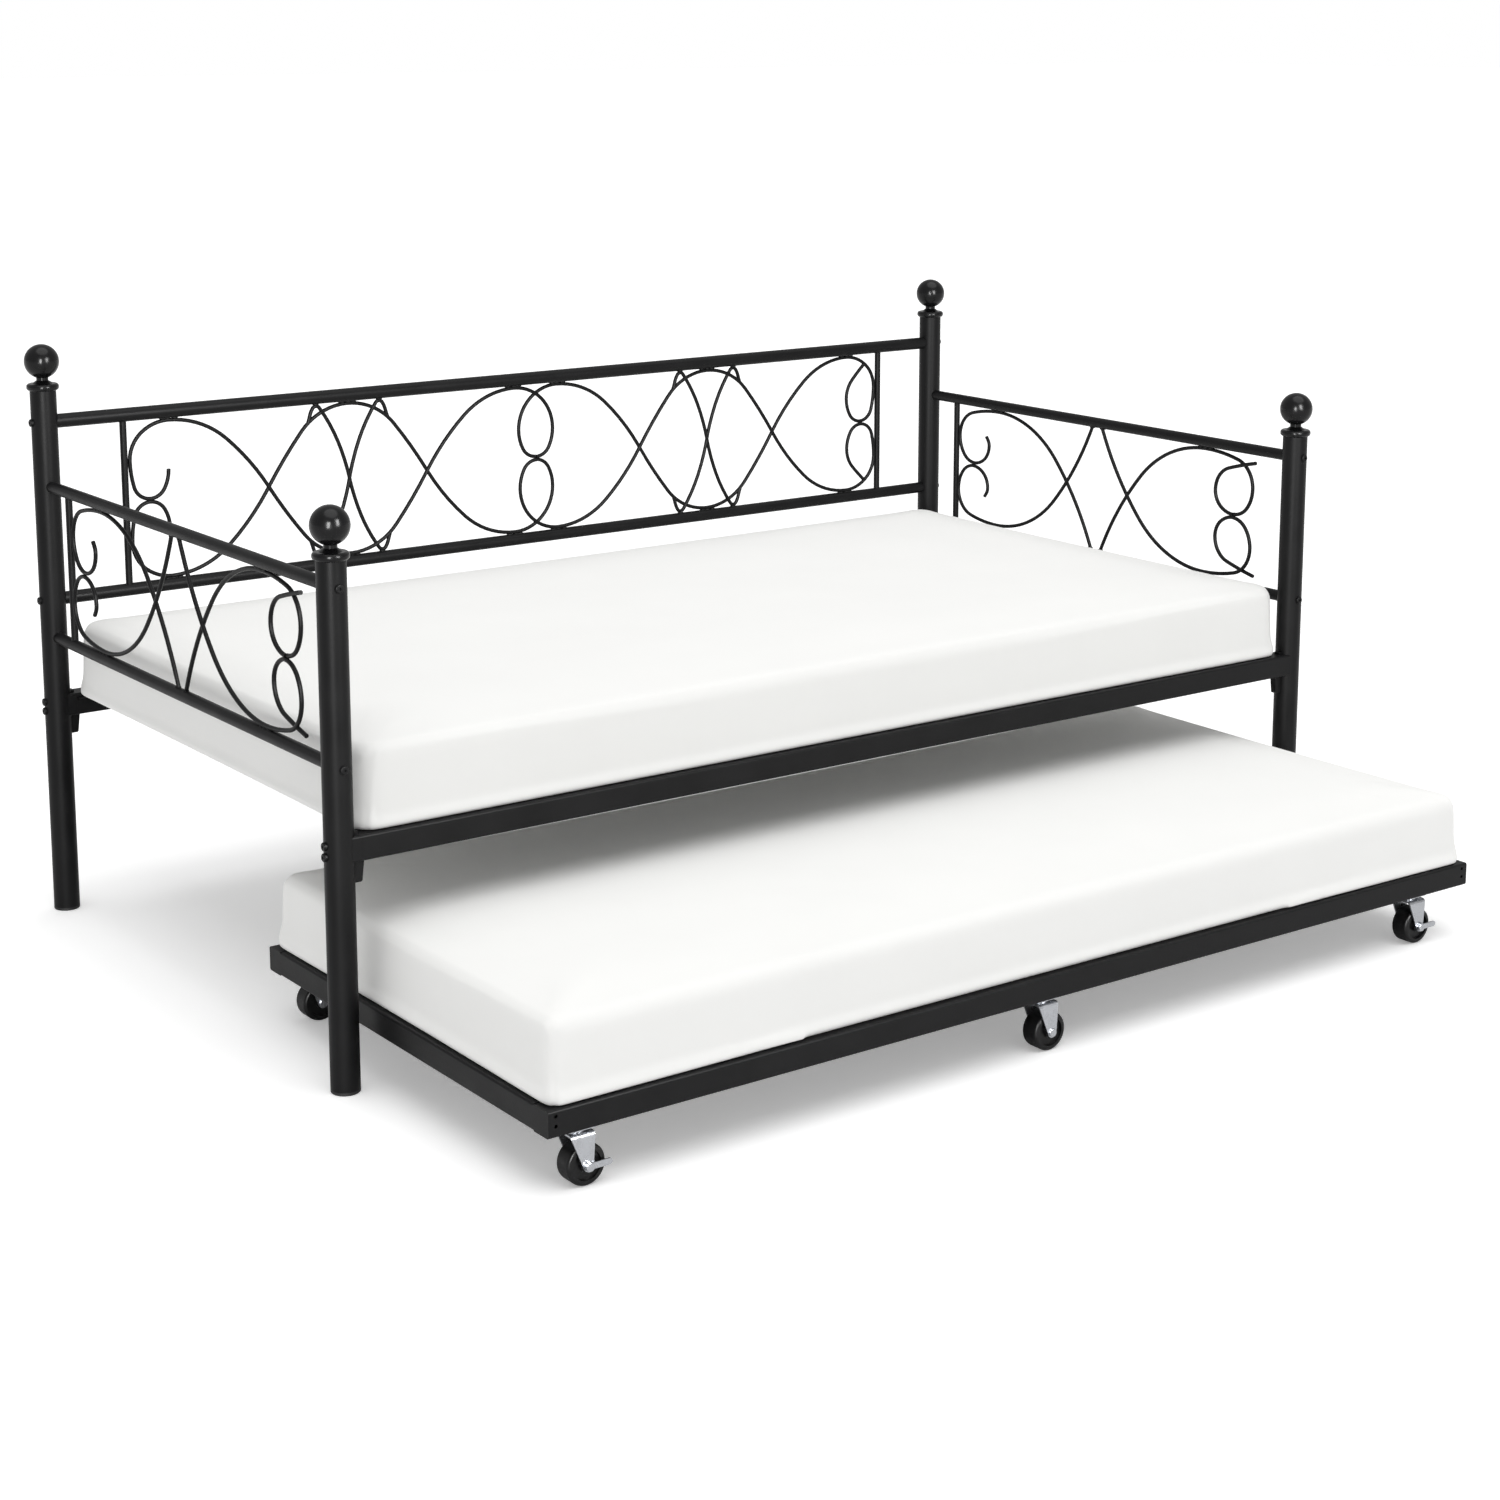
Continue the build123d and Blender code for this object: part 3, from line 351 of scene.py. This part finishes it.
def knitted_polyester(colour):
    """White polyester jersey, knitted and stretched over foam."""
    # The knit's ribs are about 1.2 mm, too fine to show, and are drawn weakly at 25 mm.
    # They keep the light on the wide top from lying quite even.
    # The brushed yarn gives a pale edge where the cover turns away.
    tree, material = blank_material("white_polyester_knit")
    place = add_node(tree, "ShaderNodeTexCoord").outputs["Object"]
    rib_scale = per_mm(25) * 2 * pi / wave_turn
    ribs = 0.0
    for direction in ("X", "Y", "Z"):
        wave = add_node(tree, "ShaderNodeTexWave", {
            "Vector": place, "Scale": rib_scale, "Distortion": 0.6, "Detail": 1.0, "Detail Scale": 2.0,
        }, wave_type="BANDS", bands_direction=direction)
        total = add_node(tree, "ShaderNodeMath", {0: ribs, 1: wave.outputs["Fac"]}, operation="ADD")
        ribs = total.outputs["Value"]
    bump = add_node(tree, "ShaderNodeBump", {"Height": ribs, "Strength": 0.12, "Distance": 0.0003})
    cloud = add_node(tree, "ShaderNodeTexNoise", {"Vector": place, "Scale": per_mm(160), "Detail": 3.0})
    tint = add_node(tree, "ShaderNodeValToRGB", {"Fac": cloud.outputs["Fac"]})
    tint.color_ramp.elements[0].position = 0.3
    tint.color_ramp.elements[0].color = opaque([c * 0.985 for c in colour])
    tint.color_ramp.elements[1].position = 0.7
    tint.color_ramp.elements[1].color = opaque(colour)
    shader = add_node(tree, "ShaderNodeBsdfPrincipled", {
        "Base Color": tint.outputs["Color"], "Roughness": 0.85, "Specular IOR Level": 0.2,
        "Sheen Weight": 0.12, "Sheen Roughness": 0.5, "Normal": bump.outputs["Normal"],
    })
    add_node(tree, "ShaderNodeOutputMaterial", {"Surface": shader.outputs["BSDF"]})
    return material


def in_slot(slot):
    """Names of the frame's pieces in that material slot."""
    return [piece["node"] for piece in frame["record"]["subparts"] if piece["material_slot"] == slot]


def finish_nodes(names, material):
    """Gives one finish to those pieces of the frame."""
    if not names:
        raise RuntimeError("no piece takes the finish " + material.name)
    for name in names:
        materials = frame["nodes"][name].data.materials
        materials.clear()
        materials.append(material)


def new_piece(name, mesh, material, body):
    """Adds an object that rides on a body of the bed."""
    piece = bpy.data.objects.new(name, mesh)
    bpy.context.scene.collection.objects.link(piece)
    mesh.materials.clear()
    mesh.materials.append(material)
    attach(piece, body)


class TRUNDLEBED_OT_coat(bpy.types.Operator):
    """Coat the posts, rails, bars, scrolls, slats, brackets and bolts, and enamel the finials"""

    bl_idname = "trundle_bed.coat"
    bl_label = "Powder coat"

    def execute(self, context):
        colour = context.scene.trundle_bed_finishes.coat
        coated = in_slot("black_powder_coat")
        turned = [name for name in coated if name.endswith(("_finial", "_collars"))]
        tubes = [name for name in coated if name not in turned]
        finish_nodes(tubes, powder_coated_steel(colour))
        finish_nodes(turned, gloss_enamelled_steel(colour))
        return {"FINISHED"}


class TRUNDLEBED_OT_zinc(bpy.types.Operator):
    """Plate the caster plates, forks, pins, brake levers and screws"""

    bl_idname = "trundle_bed.zinc"
    bl_label = "Zinc plate"

    def execute(self, context):
        finish_nodes(in_slot("zinc_plate"), zinc_plated_steel(context.scene.trundle_bed_finishes.zinc))
        return {"FINISHED"}


class TRUNDLEBED_OT_plastics(bpy.types.Operator):
    """Mould the caster wheels and the foot glides"""

    bl_idname = "trundle_bed.plastics"
    bl_label = "Wheels and glides"

    def execute(self, context):
        finishes = context.scene.trundle_bed_finishes
        finish_nodes(in_slot("wheel_plastic"), moulded_polypropylene(finishes.wheel))
        finish_nodes(in_slot("glide_plastic"), moulded_polyethylene(finishes.glide))
        return {"FINISHED"}


def rail_line(name, along):
    """Centre line of a round rail: its place across, and its radius."""
    low, high = (Vector(corner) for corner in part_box(name))
    middle = (low + high) / 2
    middle[along] = 0.0
    return middle, (high.z - low.z) / 2


# Bare length of rail that parts one weld from the next
weld_gap = 0.006


def weld_places(scrolls, rail, along, reach):
    """Middles of the stretches of a scroll grille that touch a rail."""
    line, radius = rail_line(rail, along)
    touching = []
    for vertex in frame["nodes"][scrolls].data.vertices:
        across = vertex.co.copy()
        across[along] = 0.0
        if (across - line).length < radius + reach:
            touching.append(vertex.co)
    touching.sort(key=lambda point: point[along])
    runs = []
    for point in touching:
        if not runs or point[along] - runs[-1][-1][along] > weld_gap:
            runs.append([])
        runs[-1].append(point)
    places = []
    for run in runs:
        middle = (run[0] + run[-1]) / 2
        below = sum(point.z for point in run) / len(run) < line.z
        place = line.copy()
        place[along] = middle[along]
        place.z += -radius if below else radius
        places.append(place)
    return places


# A bead's rings: points in each, rings to a ripple and at the ends
ring_points = 10
ripple_rings = 4
end_rings = 3
# Depth of a bead's ripples and thickness of its ends, as shares of its width
ripple_depth = 0.1
end_share = 0.02
# How far a bead's middle stands from the weld's, in widths
side_step = 0.55


def add_bead(points, faces, place, along, side, sizes):
    """One rippled bead beside a weld, as rings of points along the rail."""
    rings = ripple_rings * sizes.ripples + end_rings
    across = 1 - along
    first = len(points)
    for ring in range(rings):
        run = 2 * ring / (rings - 1) - 1
        ripple = 1 + ripple_depth * cos(pi * sizes.ripples * (run + 1))
        radius = max(sqrt(1 - run * run), end_share) * ripple * sizes.width / 2
        for spot in range(ring_points):
            turn = 2 * pi * spot / ring_points
            point = place.copy()
            point[along] += run * sizes.length / 2
            point[across] += side * side_step * sizes.width + radius * cos(turn)
            point.z += radius * sin(turn)
            points.append(point)
    for ring in range(rings - 1):
        here = first + ring * ring_points
        there = here + ring_points
        for spot in range(ring_points):
            after = (spot + 1) % ring_points
            faces.append((here + spot, here + after, there + after, there + spot))
    last = first + (rings - 1) * ring_points
    faces.append(tuple(range(first, first + ring_points))[::-1])
    faces.append(tuple(range(last, last + ring_points)))


class TRUNDLEBED_OT_welds(bpy.types.Operator):
    """Lay a weld bead each side of every place where a scroll touches its rail"""

    bl_idname = "trundle_bed.welds"
    bl_label = "Weld beads"

    def execute(self, context):
        sizes = context.scene.trundle_bed_welds
        material = frame["nodes"]["back_scrollwork"].data.materials[0]
        for panel, along in (("back", 0), ("left", 1), ("right", 1)):
            points = []
            faces = []
            for rail in ("top", "bottom"):
                for place in weld_places(f"{panel}_scrollwork", f"{panel}_{rail}_rail", along, sizes.reach):
                    for side in (-1, 1):
                        add_bead(points, faces, place, along, side, sizes)
            if not faces:
                raise RuntimeError("no scroll touches a rail of the panel " + panel)
            mesh = bpy.data.meshes.new(f"{panel}_weld_beads")
            mesh.from_pydata(points, [], faces)
            mesh.shade_smooth()
            new_piece(f"{panel}_weld_beads", mesh, material, "daybed")
        return {"FINISHED"}


def shrunk_cover(node, slack):
    """Copy of a mattress solid, drawn in more the higher it goes and left where it rests on the rails."""
    low, high = (Vector(corner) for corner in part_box(node))
    middle = (low + high) / 2
    size = high - low
    mesh = frame["nodes"][node].data.copy()
    for vertex in mesh.vertices:
        drawn = slack * (vertex.co.z - low.z) / size.z
        vertex.co.x = middle.x + (vertex.co.x - middle.x) * (1 - 2 * drawn / size.x)
        vertex.co.y = middle.y + (vertex.co.y - middle.y) * (1 - 2 * drawn / size.y)
        vertex.co.z -= drawn
    return mesh


def apply_modifiers(piece):
    """Turns what the piece's modifiers show into its own mesh."""
    shown = piece.evaluated_get(bpy.context.evaluated_depsgraph_get())
    mesh = bpy.data.meshes.new_from_object(shown)
    piece.modifiers.clear()
    piece.data = mesh


def settle_cover(piece, depth):
    """Presses a cover's lower edge down on the rails, up to that depth and most near the bottom."""
    bottom = min(vertex.co.z for vertex in piece.data.vertices)
    for vertex in piece.data.vertices:
        rise = vertex.co.z - bottom
        if rise < depth:
            vertex.co.z = bottom + rise * rise / depth


def swell_cover(piece, sizes):
    """Blows the cover up from inside with its lower edge held, and keeps each point within its swell."""
    scene = bpy.context.scene
    start = [vertex.co.copy() for vertex in piece.data.vertices]
    settled = min(point.z for point in start) + sizes.settle
    held = piece.vertex_groups.new(name="rests_on_rails")
    held.add([i for i, point in enumerate(start) if point.z < settled], 1.0, "REPLACE")
    cloth = piece.modifiers.new("padding", "CLOTH")
    cloth.settings.quality = 4
    cloth.settings.use_pressure = True
    cloth.settings.uniform_pressure_force = sizes.pressure
    cloth.settings.vertex_group_mass = held.name
    cloth.settings.effector_weights.gravity = 0.0
    cloth.collision_settings.use_collision = False
    for number in range(1, sizes.frames + 1):
        scene.frame_set(number)
    apply_modifiers(piece)
    scene.frame_set(1)
    for vertex, point in zip(piece.data.vertices, start):
        move = vertex.co - point
        if move.length > sizes.swell:
            move *= sizes.swell / move.length
        vertex.co = point + move
    piece.vertex_groups.clear()


class TRUNDLEBED_OT_mattresses(bpy.types.Operator):
    """Swell both mattresses from their solids and cover them in knit"""

    bl_idname = "trundle_bed.mattresses"
    bl_label = "Mattresses"

    def execute(self, context):
        sizes = context.scene.trundle_bed_padding
        cover = knitted_polyester(context.scene.trundle_bed_finishes.cover)
        for node, body in (("bed_mattress", "daybed"), ("trundle_mattress", "trundle")):
            mesh = shrunk_cover(node, sizes.slack)
            piece = bpy.data.objects.new(node + "_cover", mesh)
            context.scene.collection.objects.link(piece)
            remesh = piece.modifiers.new("even_faces", "REMESH")
            remesh.mode = "VOXEL"
            remesh.voxel_size = sizes.voxel
            apply_modifiers(piece)
            if not piece.data.polygons:
                raise RuntimeError("the cover has no faces: " + node)
            settle_cover(piece, sizes.settle)
            swell_cover(piece, sizes)
            piece.data.shade_smooth()
            piece.data.materials.clear()
            piece.data.materials.append(cover)
            piece.modifiers.new("soft_cover", "SUBSURF")
            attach(piece, body)
            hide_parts(node)
        return {"FINISHED"}


def studio_floor(colour, lift):
    """Painted studio floor, matt and pale."""
    # Rolled paint leaves a very slight mottle of about 80 mm, too weak to draw the eye from the bed.
    # The camera sees it lifted towards white, so that it meets the white behind it and keeps its shadows.
    tree, material = blank_material("matt_painted_floor")
    place = add_node(tree, "ShaderNodeTexCoord").outputs["Object"]
    mottle = add_node(tree, "ShaderNodeTexNoise", {"Vector": place, "Scale": per_mm(80), "Detail": 2.0})
    gloss = add_node(tree, "ShaderNodeMapRange", {
        "Value": mottle.outputs["Fac"], "To Min": 0.85, "To Max": 0.95,
    })
    shader = add_node(tree, "ShaderNodeBsdfPrincipled", {
        "Base Color": opaque(colour), "Roughness": gloss.outputs["Result"], "Specular IOR Level": 0.1,
    })
    seen = add_node(tree, "ShaderNodeLightPath").outputs["Is Camera Ray"]
    share = add_node(tree, "ShaderNodeMath", {0: seen, 1: lift}, operation="MULTIPLY")
    white = add_node(tree, "ShaderNodeEmission", {"Strength": share.outputs["Value"]})
    lifted = add_node(tree, "ShaderNodeAddShader", {
        0: shader.outputs["BSDF"], 1: white.outputs["Emission"],
    })
    add_node(tree, "ShaderNodeOutputMaterial", {"Surface": lifted.outputs["Shader"]})
    return material


def studio_sky(strength):
    """Soft light from all round, seen as plain white by the camera alone."""
    world = bpy.data.worlds.new("studio_sky")
    world.use_nodes = True
    tree = world.node_tree
    tree.nodes.clear()
    white = opaque(linear("#ffffff"))
    light = add_node(tree, "ShaderNodeBackground", {"Color": white, "Strength": strength})
    backdrop = add_node(tree, "ShaderNodeBackground", {"Color": white, "Strength": 1.0})
    seen = add_node(tree, "ShaderNodeLightPath").outputs["Is Camera Ray"]
    mix = add_node(tree, "ShaderNodeMixShader", {
        0: seen, 1: light.outputs["Background"], 2: backdrop.outputs["Background"],
    })
    add_node(tree, "ShaderNodeOutputWorld", {"Surface": mix.outputs["Shader"]})
    return world


# Softboxes that only show as highlights on the coat, the balls and the plating.
# Each has a name, a place, a width and a height in metres, and a power in watts.
softboxes = (
    ("left_softbox", (-3.1, -3.4, 1.4), 1.0, 2.2, 240.0),
    ("right_softbox", (0.2, -3.6, 1.9), 1.0, 2.0, 200.0),
)


def lay_floor(scene, stage):
    """A wide square floor under the bed."""
    reach = stage.floor_reach
    corners = [(-reach, -reach, 0), (reach, -reach, 0), (reach, reach, 0), (-reach, reach, 0)]
    mesh = bpy.data.meshes.new("studio_floor")
    mesh.from_pydata(corners, [], [(0, 1, 2, 3)])
    mesh.materials.append(studio_floor(stage.floor_colour, stage.floor_lift))
    floor = bpy.data.objects.new("studio_floor", mesh)
    scene.collection.objects.link(floor)


def hang_lamps(scene, stage):
    """One wide lamp overhead, and the softboxes in front."""
    light = bpy.data.lights.new("overhead_lamp", "SUN")
    light.energy = stage.lamp_strength
    light.angle = stage.lamp_spread
    lamp = bpy.data.objects.new("overhead_lamp", light)
    lamp.rotation_euler = Vector(stage.lamp_from).to_track_quat("Z", "Y").to_euler()
    scene.collection.objects.link(lamp)
    for name, place, width, height, power in softboxes:
        light = bpy.data.lights.new(name, "AREA")
        light.shape = "RECTANGLE"
        light.size = width
        light.size_y = height
        light.energy = power * stage.highlights
        softbox = bpy.data.objects.new(name, light)
        softbox.location = place
        softbox.rotation_euler = Vector(place).to_track_quat("Z", "Y").to_euler()
        softbox.visible_camera = False
        softbox.visible_diffuse = False
        scene.collection.objects.link(softbox)


def place_camera(scene, stage):
    """The camera at the side and height from which the bed is shown."""
    lens = bpy.data.cameras.new("camera")
    lens.sensor_width = 36.0
    lens.sensor_fit = "HORIZONTAL"
    lens.lens = stage.camera_lens
    lens.shift_y = stage.camera_shift
    camera = bpy.data.objects.new("camera", lens)
    camera.location = stage.camera_place
    camera.rotation_euler = (pi / 2 - stage.camera_dip, 0.0, stage.camera_heading)
    scene.collection.objects.link(camera)
    scene.camera = camera


class TRUNDLEBED_OT_stage(bpy.types.Operator):
    """Set up the floor, the light and the camera"""

    bl_idname = "trundle_bed.stage"
    bl_label = "Stage"

    def execute(self, context):
        scene = context.scene
        stage = scene.trundle_bed_stage
        lay_floor(scene, stage)
        scene.world = studio_sky(stage.sky_strength)
        hang_lamps(scene, stage)
        place_camera(scene, stage)
        scene.view_settings.view_transform = "Standard"
        return {"FINISHED"}


class TRUNDLEBED_PT_panel(bpy.types.Panel):
    """Lists the steps that dress the bed, and what can be changed"""

    bl_idname = "TRUNDLEBED_PT_panel"
    bl_label = "Trundle Bed"
    bl_space_type = "VIEW_3D"
    bl_region_type = "UI"
    bl_category = "Trundle Bed"

    def draw(self, context):
        scene = context.scene
        for title, operators, settings in (
            ("Finishes", ("coat", "zinc", "plastics"), scene.trundle_bed_finishes),
            ("Weld beads", ("welds",), scene.trundle_bed_welds),
            ("Mattresses", ("mattresses",), scene.trundle_bed_padding),
            ("Stage", ("stage",), scene.trundle_bed_stage),
        ):
            column = self.layout.box().column()
            column.label(text=title)
            for name in settings.__annotations__:
                column.prop(settings, name)
            for name in operators:
                column.operator("trundle_bed." + name)


settings_groups = {
    "trundle_bed_finishes": FinishSettings,
    "trundle_bed_welds": WeldSettings,
    "trundle_bed_padding": PaddingSettings,
    "trundle_bed_stage": StageSettings,
}
classes = (
    *settings_groups.values(),
    TRUNDLEBED_OT_coat,
    TRUNDLEBED_OT_zinc,
    TRUNDLEBED_OT_plastics,
    TRUNDLEBED_OT_welds,
    TRUNDLEBED_OT_mattresses,
    TRUNDLEBED_OT_stage,
    TRUNDLEBED_PT_panel,
)


def register():
    for cls in classes:
        bpy.utils.register_class(cls)
    for name, group in settings_groups.items():
        setattr(bpy.types.Scene, name, PointerProperty(type=group))


def unregister():
    for name in settings_groups:
        delattr(bpy.types.Scene, name)
    for cls in reversed(classes):
        bpy.utils.unregister_class(cls)


def main():
    register()
    bpy.ops.trundle_bed.coat()
    bpy.ops.trundle_bed.zinc()
    bpy.ops.trundle_bed.plastics()
    bpy.ops.trundle_bed.welds()
    bpy.ops.trundle_bed.mattresses()
    bpy.ops.trundle_bed.stage()


if __name__ == "__main__":
    main()
